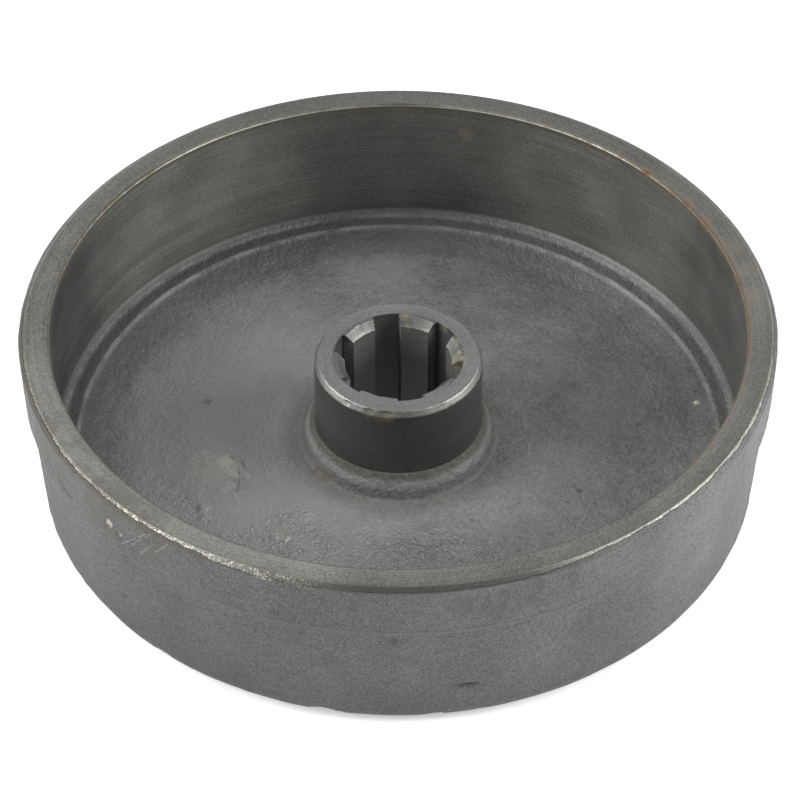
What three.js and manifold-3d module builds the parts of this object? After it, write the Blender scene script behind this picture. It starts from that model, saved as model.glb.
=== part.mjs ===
// A cup-shaped cast-iron drum with a splined hub, as a three.js scene graph in millimetres, +Z up.
// The origin is on the axis, in the plane of the back face that the drum stands on. +Z points out
// of the open mouth, and one spline slot is centred on +X. The casting is one piece of iron. It is
// divided here into its rim, its web and its hub, which meet face to face.
import * as THREE from "three";
import { mergeVertices } from "three/addons/utils/BufferGeometryUtils.js";
import Module from "manifold-3d";

const wasm = await Module();
wasm.setup();

// Driving dimensions of the wall.
const HEIGHT = 51; // from the back face to the lip
const LIP_RADIUS = 97.75; // outside, at the foot of the lip's chamfer
const LIP_CHAMFER_WIDTH = 1.55;
const LIP_CHAMFER_DROP = 1.1;
const FRICTION_RADIUS = 90; // the turned wall that the brake shoes press on
const EDGE_BREAK = 0.4; // the small bevel at the top of the turned wall
const PARTING_HEIGHT = 36; // where the halves of the mould met, on the outside
const BAND_DRAFT = 0.5; // how far the band leans in between the lip and the parting line
const PARTING_STEP = 1.35; // how far the wall steps in below the parting line
const PARTING_STEP_DROP = 2.6;
const WALL_DRAFT = 2.25; // how far the wall leans in between the step and the back
const BACK_CORNER_ROUND = 5.4;

// Driving dimensions of the floor and the ledges round it.
const SHOULDER_HEIGHT = 12; // the ledge at the foot of the turned wall
const SHOULDER_WIDTH = 5;
const SHOULDER_FILLET = 2.4; // between the turned wall and the ledge
const SHOULDER_DROP = 1.1; // the small step on the inside of that ledge
const SHOULDER_DROP_WIDTH = 1;
const FLOOR_EDGE_RADIUS = 79; // the floor is lowest here, at the foot of the cast slope
const FLOOR_EDGE_HEIGHT = 8.6;
const FLOOR_EDGE_ROUND = 8;
const COLLAR_FOOT_RADIUS = 26.8;
const COLLAR_FOOT_HEIGHT = 10.8;
const COLLAR_FILLET = 6;
const COLLAR_HEIGHT = 17.6; // the cast collar ends here, and the turned hub goes on
const COLLAR_LEDGE = 0.5;
const BACK_RECESS = 2.5; // depth of the ring-shaped hollow in the back

// Driving dimensions of the hub and its bore: a straight-sided spline, 6 x 28 x 34.
const HUB_RADIUS = 22;
const HUB_HEIGHT = 38.4;
const HUB_CHAMFER_WIDTH = 0.95;
const HUB_CHAMFER_DROP = 1.6;
const HUB_FOOT_RADIUS = 27; // the boss that stands out of the back
const HUB_FOOT_DRAFT = 0.4;
const SPLINE_SLOTS = 6;
const SPLINE_MINOR_RADIUS = 14;
const SPLINE_MAJOR_RADIUS = 17;
const SPLINE_SLOT_WIDTH = 7;
const FRONT_MOUTH_CHAMFER = 2;
const BACK_MOUTH_CHAMFER = 1;

// Where the brake ring meets the back ring, and where the web plate meets the collar.
const RING_SEAM_HEIGHT = 15;
const COLLAR_RADIUS = 30.5;

// Corner radii of the machined edges, and of the cast edges at the parting line.
const SOFT_EDGE = 0.3;
const PARTING_EDGE = 0.6;
const PARTING_FILLET = 1;

const TURN_SEGMENTS = 72; // a multiple of the number of slots
const CORNER_SEGMENTS = 3; // steps in each rounded corner of a profile
const SLOT_ARC_SEGMENTS = 3;
const CUT_OVERRUN = 1; // how far a cutting tool runs past the face it cuts
const WELD_DISTANCE = 1e-3; // vertices closer than this are one vertex

// A profile's points from its corners, each [radius, height, corner rounding]. The rounding may be
// left out. A closed profile ends on the point it starts from.
function roundedProfile(corners, closed) {
  const count = corners.length;
  const points = [];
  corners.forEach(([r, z, rounding = 0], i) => {
    const corner = new THREE.Vector2(r, z);
    if (!rounding) {
      points.push(corner);
      return;
    }
    const before = corners[(i + count - 1) % count];
    const after = corners[(i + 1) % count];
    const back = new THREE.Vector2(before[0], before[1]).sub(corner).normalize();
    const onward = new THREE.Vector2(after[0], after[1]).sub(corner).normalize();
    const halfAngle = Math.acos(back.dot(onward)) / 2;
    const reach = rounding / Math.tan(halfAngle);
    const bisector = back.clone().add(onward).normalize();
    const centre = corner.clone().addScaledVector(bisector, rounding / Math.sin(halfAngle));
    const start = corner.clone().addScaledVector(back, reach).sub(centre);
    const end = corner.clone().addScaledVector(onward, reach).sub(centre);
    const sweep = Math.atan2(start.cross(end), start.dot(end));
    for (let step = 0; step <= CORNER_SEGMENTS; step += 1) {
      const angle = (sweep * step) / CORNER_SEGMENTS;
      points.push(start.clone().rotateAround(new THREE.Vector2(), angle).add(centre));
    }
  });
  return closed ? [...points, points[0].clone()] : points;
}

// A profile turned about +Z. The profile runs anticlockwise, with radius to the right and height up.
function turned(profile) {
  const geometry = new THREE.LatheGeometry(profile, TURN_SEGMENTS);
  geometry.rotateX(Math.PI / 2);
  return geometry;
}

// A closed three.js geometry as a manifold-3d solid.
function solid(geometry) {
  const bare = new THREE.BufferGeometry();
  bare.setAttribute("position", geometry.getAttribute("position"));
  bare.setIndex(geometry.index);
  const merged = mergeVertices(bare, WELD_DISTANCE);
  const mesh = new wasm.Mesh({
    numProp: 3,
    vertProperties: merged.getAttribute("position").array,
    triVerts: new Uint32Array(merged.index.array),
  });
  return new wasm.Manifold(mesh);
}

// A manifold-3d solid as a three.js geometry.
function geometryOf(made) {
  const { vertProperties, triVerts } = made.getMesh();
  const geometry = new THREE.BufferGeometry();
  geometry.setAttribute("position", new THREE.BufferAttribute(vertProperties, 3));
  geometry.setIndex(new THREE.BufferAttribute(triVerts, 1));
  geometry.computeVertexNormals();
  return geometry;
}

// The value that lies a share of the way from one value to another.
function between(from, to, share) {
  return from + (to - from) * share;
}

const PARTING_RADIUS = LIP_RADIUS - BAND_DRAFT;
const STEP_RADIUS = PARTING_RADIUS - PARTING_STEP;
const STEP_HEIGHT = PARTING_HEIGHT - PARTING_STEP_DROP;
const BACK_RADIUS = STEP_RADIUS - WALL_DRAFT;
const RING_SEAM_RADIUS = between(BACK_RADIUS, STEP_RADIUS, RING_SEAM_HEIGHT / STEP_HEIGHT);
const SHOULDER_RADIUS = FRICTION_RADIUS - SHOULDER_WIDTH;
const WEB_RADIUS = SHOULDER_RADIUS - SHOULDER_DROP_WIDTH;
const WEB_EDGE_HEIGHT = SHOULDER_HEIGHT - SHOULDER_DROP;
const FLOOR_WIDTH = FLOOR_EDGE_RADIUS - COLLAR_FOOT_RADIUS;
const COLLAR_EDGE_SHARE = (COLLAR_RADIUS - COLLAR_FOOT_RADIUS) / FLOOR_WIDTH;
const COLLAR_EDGE_HEIGHT = between(COLLAR_FOOT_HEIGHT, FLOOR_EDGE_HEIGHT, COLLAR_EDGE_SHARE);

// The brake ring: the wall with its drafted outside, the band above the parting line, the chamfered
// lip and the turned friction face.
function brakeRingGeometry() {
  const corners = [
    [FRICTION_RADIUS, RING_SEAM_HEIGHT],
    [RING_SEAM_RADIUS, RING_SEAM_HEIGHT],
    [STEP_RADIUS, STEP_HEIGHT, PARTING_FILLET],
    [PARTING_RADIUS, PARTING_HEIGHT, PARTING_EDGE],
    [LIP_RADIUS, HEIGHT - LIP_CHAMFER_DROP, SOFT_EDGE],
    [LIP_RADIUS - LIP_CHAMFER_WIDTH, HEIGHT, SOFT_EDGE],
    [FRICTION_RADIUS + EDGE_BREAK, HEIGHT],
    [FRICTION_RADIUS, HEIGHT - EDGE_BREAK],
  ];
  return turned(roundedProfile(corners, true));
}

// The back ring: the foot that the drum stands on, the rounded corner outside it, and the ledge inside,
// which steps down from the friction face to the web.
function backRingGeometry() {
  const corners = [
    [WEB_RADIUS, 0],
    [BACK_RADIUS, 0, BACK_CORNER_ROUND],
    [RING_SEAM_RADIUS, RING_SEAM_HEIGHT],
    [FRICTION_RADIUS, RING_SEAM_HEIGHT],
    [FRICTION_RADIUS, SHOULDER_HEIGHT, SHOULDER_FILLET],
    [SHOULDER_RADIUS, SHOULDER_HEIGHT, SOFT_EDGE],
    [WEB_RADIUS, WEB_EDGE_HEIGHT],
  ];
  return turned(roundedProfile(corners, true));
}

// The web plate: a shallow cone with a cast slope at its edge.
function webGeometry() {
  const corners = [
    [COLLAR_RADIUS, BACK_RECESS],
    [WEB_RADIUS, BACK_RECESS],
    [WEB_RADIUS, WEB_EDGE_HEIGHT],
    [FLOOR_EDGE_RADIUS, FLOOR_EDGE_HEIGHT, FLOOR_EDGE_ROUND],
    [COLLAR_RADIUS, COLLAR_EDGE_HEIGHT],
  ];
  return turned(roundedProfile(corners, true));
}

// The collar: the cast flare that rises from the middle of the web to the turned part of the hub.
function collarGeometry() {
  const corners = [
    [HUB_RADIUS, BACK_RECESS],
    [COLLAR_RADIUS, BACK_RECESS],
    [COLLAR_RADIUS, COLLAR_EDGE_HEIGHT],
    [COLLAR_FOOT_RADIUS, COLLAR_FOOT_HEIGHT, COLLAR_FILLET],
    [HUB_RADIUS + COLLAR_LEDGE, COLLAR_HEIGHT, SOFT_EDGE],
    [HUB_RADIUS, COLLAR_HEIGHT],
  ];
  return turned(roundedProfile(corners, true));
}

// The outline of the splined bore: the minor circle with a straight-sided slot at each division.
function splineShape() {
  const halfWidth = SPLINE_SLOT_WIDTH / 2;
  const halfAtMinor = Math.asin(halfWidth / SPLINE_MINOR_RADIUS);
  const halfAtMajor = Math.asin(halfWidth / SPLINE_MAJOR_RADIUS);
  const division = (2 * Math.PI) / SPLINE_SLOTS;
  const shape = new THREE.Shape();
  for (let slot = 0; slot < SPLINE_SLOTS; slot += 1) {
    const middle = slot * division;
    shape.absarc(0, 0, SPLINE_MAJOR_RADIUS, middle - halfAtMajor, middle + halfAtMajor);
    const landEnd = middle + division - halfAtMinor;
    shape.absarc(0, 0, SPLINE_MINOR_RADIUS, middle + halfAtMinor, landEnd);
  }
  shape.closePath();
  return shape;
}

// The splined bore as a cutting tool that runs past both ends of the hub.
function boreCutter() {
  const bore = new THREE.ExtrudeGeometry(splineShape(), {
    depth: HUB_HEIGHT + 2 * CUT_OVERRUN,
    bevelEnabled: false,
    curveSegments: SLOT_ARC_SEGMENTS,
  });
  bore.translate(0, 0, -CUT_OVERRUN);
  return solid(bore);
}

// A cone that bevels the bore's mouth at a height. outward is 1 at the front and -1 at the back.
function mouthCutter(height, chamfer, outward) {
  const inner = height - outward * chamfer;
  const outer = height + outward * CUT_OVERRUN;
  const profile = [
    new THREE.Vector2(0, inner),
    new THREE.Vector2(SPLINE_MINOR_RADIUS, inner),
    new THREE.Vector2(SPLINE_MINOR_RADIUS + chamfer + CUT_OVERRUN, outer),
    new THREE.Vector2(0, outer),
  ];
  return solid(turned(outward > 0 ? profile : profile.reverse()));
}

// The turned hub: a foot that stands out of the back, a chamfered nose, and the splined bore.
function hubGeometry() {
  const corners = [
    [0, 0],
    [HUB_FOOT_RADIUS - HUB_FOOT_DRAFT, 0, SOFT_EDGE],
    [HUB_FOOT_RADIUS, BACK_RECESS],
    [HUB_RADIUS, BACK_RECESS],
    [HUB_RADIUS, HUB_HEIGHT - HUB_CHAMFER_DROP],
    [HUB_RADIUS - HUB_CHAMFER_WIDTH, HUB_HEIGHT],
    [0, HUB_HEIGHT],
  ];
  const blank = solid(turned(roundedProfile(corners, false)));
  const bored = blank
    .subtract(boreCutter())
    .subtract(mouthCutter(HUB_HEIGHT, FRONT_MOUTH_CHAMFER, 1))
    .subtract(mouthCutter(0, BACK_MOUTH_CHAMFER, -1));
  return geometryOf(bored);
}

function piece(name, geometry, color, roughness) {
  const material = new THREE.MeshStandardMaterial({ color, roughness, metalness: 0.6 });
  const mesh = new THREE.Mesh(geometry, material);
  mesh.name = name;
  return mesh;
}

const drum = new THREE.Group();
drum.add(
  piece("brake_ring", brakeRingGeometry(), 0x6e7072, 0.5),
  piece("back_ring", backRingGeometry(), 0x6a6d70, 0.65),
  piece("web_plate", webGeometry(), 0x66686a, 0.7),
  piece("hub_collar", collarGeometry(), 0x606263, 0.65),
  piece("splined_hub", hubGeometry(), 0x595b5c, 0.4),
);

export default drum;
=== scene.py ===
import math
from collections import namedtuple

import bpy
import numpy as np
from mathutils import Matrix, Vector, noise


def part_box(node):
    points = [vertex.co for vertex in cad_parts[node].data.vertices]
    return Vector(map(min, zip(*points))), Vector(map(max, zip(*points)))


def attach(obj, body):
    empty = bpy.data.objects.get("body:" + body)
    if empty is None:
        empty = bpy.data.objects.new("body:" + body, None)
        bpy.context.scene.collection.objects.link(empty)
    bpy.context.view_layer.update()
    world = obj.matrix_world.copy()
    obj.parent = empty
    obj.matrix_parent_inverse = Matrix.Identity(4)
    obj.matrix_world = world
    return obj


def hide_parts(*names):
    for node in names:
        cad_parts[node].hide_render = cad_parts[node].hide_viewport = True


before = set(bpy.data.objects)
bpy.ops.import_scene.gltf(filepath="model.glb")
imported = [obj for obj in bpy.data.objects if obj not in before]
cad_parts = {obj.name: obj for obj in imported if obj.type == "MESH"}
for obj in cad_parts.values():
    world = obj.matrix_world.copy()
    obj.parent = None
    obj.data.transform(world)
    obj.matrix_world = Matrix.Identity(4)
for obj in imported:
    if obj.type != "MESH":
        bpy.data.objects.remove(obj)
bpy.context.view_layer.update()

MM = 0.001  # Blender works in metres; the sizes below are in millimetres


# ---------------------------------------------------------------- camera

VIEW_AZIMUTH = 18.4
VIEW_ELEVATION = 42.57
VIEW_DISTANCE = 986.9
AIM_HEIGHT = 23.1
SENSOR_WIDTH = 36.0
LENS = 168.85
FRAMING_SHIFT = 0.002


def direction(azimuth, elevation):
    """The unit vector from the object towards a place at an azimuth and elevation, in degrees."""
    around, above = math.radians(azimuth), math.radians(elevation)
    level = math.cos(above)
    return Vector((math.sin(around) * level, -math.cos(around) * level, math.sin(above)))


def make_camera():
    data = bpy.data.cameras.new("view")
    data.sensor_width = SENSOR_WIDTH
    data.lens = LENS
    data.shift_x = FRAMING_SHIFT
    camera = bpy.data.objects.new("view", data)
    back = direction(VIEW_AZIMUTH, VIEW_ELEVATION)
    camera.location = (Vector((0, 0, AIM_HEIGHT)) + back * VIEW_DISTANCE) * MM
    camera.rotation_euler = (-back).to_track_quat("-Z", "Y").to_euler()
    bpy.context.scene.collection.objects.link(camera)
    bpy.context.scene.camera = camera


make_camera()


# ---------------------------------------------------------------- sizes


def span(node):
    """A CAD node's lowest and highest corners, in millimetres."""
    low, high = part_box(node)
    return low / MM, high / MM


HEIGHT = span("brake_ring")[1].z
LIP_RADIUS = span("brake_ring")[1].x
WEB_RADIUS = span("web_plate")[1].x
BACK_RECESS = span("web_plate")[0].z
COLLAR_HEIGHT = span("hub_collar")[1].z
HUB_HEIGHT = span("splined_hub")[1].z
HUB_FOOT_RADIUS = span("splined_hub")[1].x

LIP_CHAMFER_WIDTH = 1.55
LIP_CHAMFER_DROP = 1.1
LIP_NOSE_RADIUS = LIP_RADIUS - LIP_CHAMFER_WIDTH
FRICTION_RADIUS = 90.0
EDGE_BREAK = 0.5
EDGE_ROUND = 0.2
PARTING_HEIGHT = 36.0
PARTING_RADIUS = LIP_RADIUS - 0.5
STEP_HEIGHT = PARTING_HEIGHT - 2.6
STEP_RADIUS = PARTING_RADIUS - 1.35
BACK_RADIUS = STEP_RADIUS - 2.25
BACK_CORNER_ROUND = 5.4
SHOULDER_HEIGHT = 12.0
SHOULDER_RADIUS = FRICTION_RADIUS - 5.0
SHOULDER_FILLET = 2.4
WEB_EDGE_HEIGHT = SHOULDER_HEIGHT - 1.1
FLOOR_EDGE_RADIUS = 79.0
FLOOR_EDGE_HEIGHT = 8.6
COLLAR_FOOT_RADIUS = 25.9
COLLAR_FOOT_HEIGHT = 10.8
COLLAR_EDGE_RADIUS = 24.1
COLLAR_EDGE_HEIGHT = 14.9
COLLAR_LEDGE = 0.5
HUB_RADIUS = 22.0
HUB_CHAMFER_WIDTH = 0.95
HUB_CHAMFER_DROP = 1.6
HUB_NOSE_RADIUS = HUB_RADIUS - HUB_CHAMFER_WIDTH
HUB_CHAMFER_FOOT = HUB_HEIGHT - HUB_CHAMFER_DROP
BOSS_DRAFT = 0.4
BOSS_EDGE_BREAK = 0.3
SPLINE_SLOTS = 6
SPLINE_MINOR_RADIUS = 14.0
SPLINE_MAJOR_RADIUS = 17.0
SPLINE_SLOT_WIDTH = 7.0
FRONT_MOUTH_RADIUS = SPLINE_MINOR_RADIUS + 2.0
BACK_MOUTH_RADIUS = SPLINE_MINOR_RADIUS + 1.0


# ---------------------------------------------------------------- outlines

# A corner of a turned outline. step is the spacing of points on the stretch after the corner, and
# cast is how far that stretch shows the unevenness of the casting: 0 where it is machined.
Corner = namedtuple("Corner", "r z rounding cast step", defaults=(0.0, 0.0, 1.0))

ARC_STEP = 0.3  # millimetres along a rounded corner
ARC_MIN_STEPS = 3


def rounded_corner(before, corner, after, rounding):
    """Points of the arc that rounds a corner, or the corner itself."""
    if not rounding:
        return [corner]
    back = (before - corner).normalized()
    onward = (after - corner).normalized()
    half = back.angle(onward) / 2
    reach = rounding / math.tan(half)
    centre = corner + (back + onward).normalized() * rounding / math.sin(half)
    start = corner + back * reach - centre
    end = corner + onward * reach - centre
    sweep = math.atan2(start.cross(end), start.dot(end))
    steps = max(ARC_MIN_STEPS, math.ceil(abs(sweep) * rounding / ARC_STEP))
    points = []
    for i in range(steps + 1):
        turn = sweep * i / steps
        points.append(centre + start * math.cos(turn) + Vector((-start.y, start.x)) * math.sin(turn))
    return points


def outline(corners):
    """The points (radius, height, cast) of a closed outline that runs anticlockwise."""
    places = [Vector((c.r, c.z)) for c in corners]
    count = len(corners)
    arcs = []
    for i, corner in enumerate(corners):
        after = places[(i + 1) % count]
        arcs.append(rounded_corner(places[i - 1], places[i], after, corner.rounding))
    points = []
    for i, corner in enumerate(corners):
        for p, t in zip(arcs[i], np.linspace(0, 1, len(arcs[i]) + 2)[1:-1]):
            points.append((p.x, p.y, corners[i - 1].cast * (1 - t) + corner.cast * t))
        start, end = arcs[i][-1], arcs[(i + 1) % count][0]
        steps = max(1, round((end - start).length / corner.step))
        for step in range(1, steps):
            p = start.lerp(end, step / steps)
            points.append((p.x, p.y, corner.cast))
    return np.array(points)


def outward(points):
    """The unit normals of a closed anticlockwise outline, as (radius, height) pairs."""
    along = np.roll(points, -1, axis=0)[:, :2] - np.roll(points, 1, axis=0)[:, :2]
    along /= np.linalg.norm(along, axis=1)[:, None]
    return np.stack([along[:, 1], -along[:, 0]], axis=1)


# ---------------------------------------------------------------- the casting's unevenness

BROAD_SIZE, BROAD_HEIGHT = 19.0, 0.16  # millimetres, of the casting's slow waves
LUMP_SIZE, LUMP_HEIGHT = 4.2, 0.13  # and of its lumps
OCTAVES = 2

# A dent or bump: where it is (angle in degrees, radius, height), its reach along the rim, and along the
# two directions across it, and how far it stands out. A negative lift is a hollow.
Mark = namedtuple("Mark", "angle r z along radial upright lift")

MARK_STEEPNESS = 1.7

MARKS = [
    Mark(249.1, 91.9, 1.5, 3.4, 3.0, 2.6, -2.1),  # chips in the corner at the back
    Mark(276.8, 91.9, 1.4, 4.0, 3.2, 2.9, -2.9),
    Mark(279.0, 91.9, 1.4, 1.6, 2.6, 2.0, -0.5),
    Mark(294.2, 91.9, 1.4, 2.2, 2.6, 2.2, -1.9),
    Mark(301.0, 91.9, 1.4, 1.0, 2.2, 1.6, -0.4),
    Mark(130.0, 91.5, 1.2, 3.0, 2.5, 1.8, -0.8),
    Mark(20.0, 91.6, 1.3, 2.6, 2.2, 1.8, -0.7),
    Mark(241.4, 97.4, 43.0, 1.5, 1.5, 1.3, -0.6),  # a knock below the lip
    Mark(243.6, 97.3, 41.4, 1.9, 1.5, 0.8, -0.5),
    Mark(298.6, 94.4, 13.2, 2.9, 1.5, 0.6, -0.8),  # a lap in the skin, near the back
    Mark(222.6, 96.6, 38.6, 1.6, 1.5, 1.0, -0.7),  # laps on the parting line
    Mark(224.8, 96.6, 37.6, 2.6, 1.5, 0.7, -0.6),
    Mark(228.6, 96.6, 36.9, 3.2, 1.5, 0.7, -0.5),
    Mark(287.9, 95.9, 31.5, 1.6, 1.5, 0.9, -0.4),
    Mark(240.3, 95.2, 23.0, 1.2, 1.5, 0.9, -0.4),
    Mark(241.8, 94.7, 16.0, 1.2, 1.5, 0.9, -0.4),
    Mark(212.5, 46.4, 10.1, 4.6, 4.2, 3.0, 1.0),  # a blister on the web
    Mark(215.2, 43.8, 10.1, 2.6, 1.9, 3.0, 0.7),
    Mark(219.4, 44.2, 10.1, 1.4, 3.4, 3.0, 1.1),
    Mark(209.0, 50.6, 10.0, 3.6, 2.4, 3.0, 0.5),
    Mark(223.0, 47.0, 10.0, 1.5, 3.5, 3.0, -0.5),
    Mark(226.0, 57.5, 9.6, 2.0, 1.2, 3.0, 0.5),
    Mark(229.5, 59.0, 9.5, 1.2, 1.6, 3.0, 0.45),
    Mark(28.0, 81.1, 9.6, 1.1, 1.1, 2.0, 0.9),  # a bead of iron on the slope
    Mark(355.0, 51.7, 9.9, 1.0, 0.8, 3.0, -0.4),
    Mark(41.4, 51.7, 9.9, 1.6, 0.9, 3.0, -0.4),
    Mark(182.8, 53.0, 9.8, 1.2, 0.9, 3.0, -0.4),
]


def cylinder_place(angle, r, z):
    around = math.radians(angle)
    return Vector((r * math.cos(around), r * math.sin(around), z))


def mark_lift(places, mark):
    """How far a mark lifts the surface at each place."""
    centre = np.array(cylinder_place(mark.angle, mark.r, mark.z))
    around = math.radians(mark.angle)
    out = np.array((math.cos(around), math.sin(around), 0))
    round_rim = np.array((-math.sin(around), math.cos(around), 0))
    away = places - centre
    along = (away @ round_rim) / mark.along
    radial = (away @ out) / mark.radial
    upright = away[:, 2] / mark.upright
    share = np.clip(MARK_STEEPNESS * (1 - (along**2 + radial**2 + upright**2)), 0, 1)
    return mark.lift * share * share * (3 - 2 * share)


def relief(places):
    """How far the casting stands proud of its drawn surface at each place, in millimetres."""
    lift = np.empty(len(places))
    for i, place in enumerate(places):
        p = Vector(place)
        broad = noise.fractal(p / BROAD_SIZE, 1, 2, OCTAVES)
        lumps = noise.fractal(p / LUMP_SIZE, 1, 2, OCTAVES)
        lift[i] = BROAD_HEIGHT * broad + LUMP_HEIGHT * lumps
    for mark in MARKS:
        lift += mark_lift(places, mark)
    return lift


# ---------------------------------------------------------------- meshes

SHARP_ANGLE = math.radians(30)


def ring_piece(name, places):
    """A closed ring from places[column, row], where rows run anticlockwise round its section."""
    columns, rows = places.shape[:2]
    column = np.arange(columns)[:, None] * rows
    row = np.arange(rows)[None, :]
    next_column = np.roll(column, -1, axis=0)
    next_row = np.roll(row, -1, axis=1)
    corners = [column + row, next_column + row, next_column + next_row, column + next_row]
    quads = np.stack(corners, axis=-1)
    mesh = bpy.data.meshes.new(name)
    mesh.from_pydata((places.reshape(-1, 3) * MM).tolist(), [], quads.reshape(-1, 4).tolist())
    mesh.validate()
    mesh.shade_smooth()
    mesh.set_sharp_from_angle(angle=SHARP_ANGLE)
    piece = bpy.data.objects.new(name, mesh)
    bpy.context.scene.collection.objects.link(piece)
    return piece


COLUMNS = 540  # round the wall and the web


def turned_places(points, lean):
    """An outline turned about Z, with its cast stretches lifted along lean by the relief."""
    around = np.arange(COLUMNS) * 2 * math.pi / COLUMNS
    flat = np.stack([np.cos(around), np.sin(around)], axis=1)
    heights = np.broadcast_to(points[:, 1:2], (COLUMNS, len(points), 1))
    drawn = np.concatenate([flat[:, None, :] * points[None, :, 0:1], heights], axis=2)
    lift = np.zeros((COLUMNS, len(points)))
    uneven = points[:, 2] > 0
    cast_places = drawn[:, uneven].reshape(-1, 3)
    lift[:, uneven] = relief(cast_places).reshape(COLUMNS, -1) * points[uneven, 2]
    places = drawn.copy()
    places[..., :2] += flat[:, None, :] * (lift * lean[:, 0])[..., None]
    places[..., 2] += lift * lean[:, 1]
    return places


def nearest_point(points, r, z):
    """The number of the outline's point nearest to a radius and height."""
    return np.argmin(np.hypot(points[:, 0] - r, points[:, 1] - z))


def lift_upright(points, lean):
    """Makes the relief move the seam of wall and web straight up, so that the two pieces stay met."""
    at_seam = nearest_point(points, WEB_RADIUS, WEB_EDGE_HEIGHT)
    lean[at_seam] = (0, 1)
    points[at_seam, 2] = 1


def make_rim():
    foot = Corner(LIP_RADIUS, HEIGHT - LIP_CHAMFER_DROP, 0, 0, 0.5)
    corners = [
        Corner(WEB_RADIUS, 0, 0, 0, 1.2),
        Corner(BACK_RADIUS, 0, BACK_CORNER_ROUND, 1, 1.0),
        Corner(STEP_RADIUS, STEP_HEIGHT, 2.5, 1, 0.8),
        Corner(PARTING_RADIUS, PARTING_HEIGHT, 0.9, 1, 1.0),
        foot,
        Corner(LIP_NOSE_RADIUS, HEIGHT, EDGE_ROUND, 0, 1.2),
        Corner(FRICTION_RADIUS + EDGE_BREAK, HEIGHT, EDGE_ROUND, 0, 0.4),
        Corner(FRICTION_RADIUS, HEIGHT - EDGE_BREAK, EDGE_ROUND, 0, 2.0),
        Corner(FRICTION_RADIUS, SHOULDER_HEIGHT, SHOULDER_FILLET, 0.5, 0.7),
        Corner(SHOULDER_RADIUS, SHOULDER_HEIGHT, 0.6, 0.8, 0.5),
        Corner(WEB_RADIUS, WEB_EDGE_HEIGHT, 0, 0, 3.0),
    ]
    points = outline(corners)
    lean = outward(points)
    at_foot = nearest_point(points, foot.r, foot.z)
    # The chamfer is cut true, so where the wall under it bulges the cut runs further down.
    lean[at_foot] = (1, -LIP_CHAMFER_DROP / LIP_CHAMFER_WIDTH)
    points[at_foot, 2] = 1
    lift_upright(points, lean)
    return ring_piece("drum_wall", turned_places(points, lean))


def make_web():
    corners = [
        Corner(HUB_RADIUS, BACK_RECESS, 0, 1, 1.3),
        Corner(WEB_RADIUS, BACK_RECESS, 0, 0, 3.0),
        Corner(WEB_RADIUS, WEB_EDGE_HEIGHT, 0, 1, 0.7),
        Corner(FLOOR_EDGE_RADIUS, FLOOR_EDGE_HEIGHT, 8, 1, 1.0),
        Corner(COLLAR_FOOT_RADIUS, COLLAR_FOOT_HEIGHT, 1.6, 0.8, 0.5),
        Corner(COLLAR_EDGE_RADIUS, COLLAR_EDGE_HEIGHT, 0.5, 0.8, 0.4),
        Corner(HUB_RADIUS + COLLAR_LEDGE, COLLAR_HEIGHT, 0.3, 0, 0.3),
        Corner(HUB_RADIUS, COLLAR_HEIGHT, 0, 0, 3.0),
    ]
    points = outline(corners)
    lean = outward(points)
    lift_upright(points, lean)
    return ring_piece("drum_web", turned_places(points, lean))


SLOT_STEPS, FLANK_STEPS, LAND_STEPS = 12, 8, 16  # of the bore's outline


def spline_columns():
    """The bore's outline as (angle, radius) pairs, once round."""
    half = SPLINE_SLOT_WIDTH / 2
    at_major = math.asin(half / SPLINE_MAJOR_RADIUS)
    division = 2 * math.pi / SPLINE_SLOTS
    flank_radii = np.linspace(SPLINE_MAJOR_RADIUS, SPLINE_MINOR_RADIUS, FLANK_STEPS + 1)
    flank = [(math.asin(half / r), r) for r in flank_radii]
    across = np.linspace(-at_major, at_major, SLOT_STEPS + 1)[1:-1]
    slot = [(a, SPLINE_MAJOR_RADIUS) for a in across]
    land = np.linspace(flank[-1][0], division - flank[-1][0], LAND_STEPS + 1)[1:-1]
    one = slot + flank + [(a, SPLINE_MINOR_RADIUS) for a in land]
    one += [(division - a, r) for a, r in reversed(flank)]
    return [(k * division + a, r) for k in range(SPLINE_SLOTS) for a, r in one]


def line(start, end, steps):
    """Points from start towards end, without the end."""
    r, z = start
    across, up = end[0] - r, end[1] - z
    return [(r + across * i / steps, z + up * i / steps) for i in range(steps)]


LAND_MARGIN = 0.3  # least width between a slot and the first ring of the hub's faces
SOFTNESS = 0.12  # of the edges of the hub's chamfer


def hub_section(bore):
    """The hub's section in a column whose bore has that radius, as (radius, height) points."""
    boss_edge = HUB_FOOT_RADIUS - BOSS_DRAFT
    corners = [  # each with its number of steps to the next one
        ((bore, max(0, BACK_MOUTH_RADIUS - bore)), 3),
        ((max(BACK_MOUTH_RADIUS, bore + LAND_MARGIN), 0), 8),
        ((boss_edge - BOSS_EDGE_BREAK, 0), 1),
        ((boss_edge, BOSS_EDGE_BREAK), 3),
        ((HUB_FOOT_RADIUS, BACK_RECESS), 2),
        ((HUB_RADIUS, BACK_RECESS), 3),
        ((HUB_RADIUS, COLLAR_HEIGHT), 14),
        ((HUB_RADIUS, HUB_CHAMFER_FOOT - SOFTNESS), 1),
        ((HUB_RADIUS - SOFTNESS / 2, HUB_CHAMFER_FOOT + SOFTNESS), 3),
        ((HUB_NOSE_RADIUS + SOFTNESS / 2, HUB_HEIGHT - SOFTNESS), 1),
        ((HUB_NOSE_RADIUS - SOFTNESS, HUB_HEIGHT), 7),
        ((max(FRONT_MOUTH_RADIUS, bore + LAND_MARGIN), HUB_HEIGHT), 4),
        ((bore, HUB_HEIGHT - max(0, FRONT_MOUTH_RADIUS - bore)), 20),
    ]
    points = []
    for (start, steps), (end, _) in zip(corners, corners[1:] + corners[:1]):
        points += line(start, end, steps)
    return points


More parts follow.
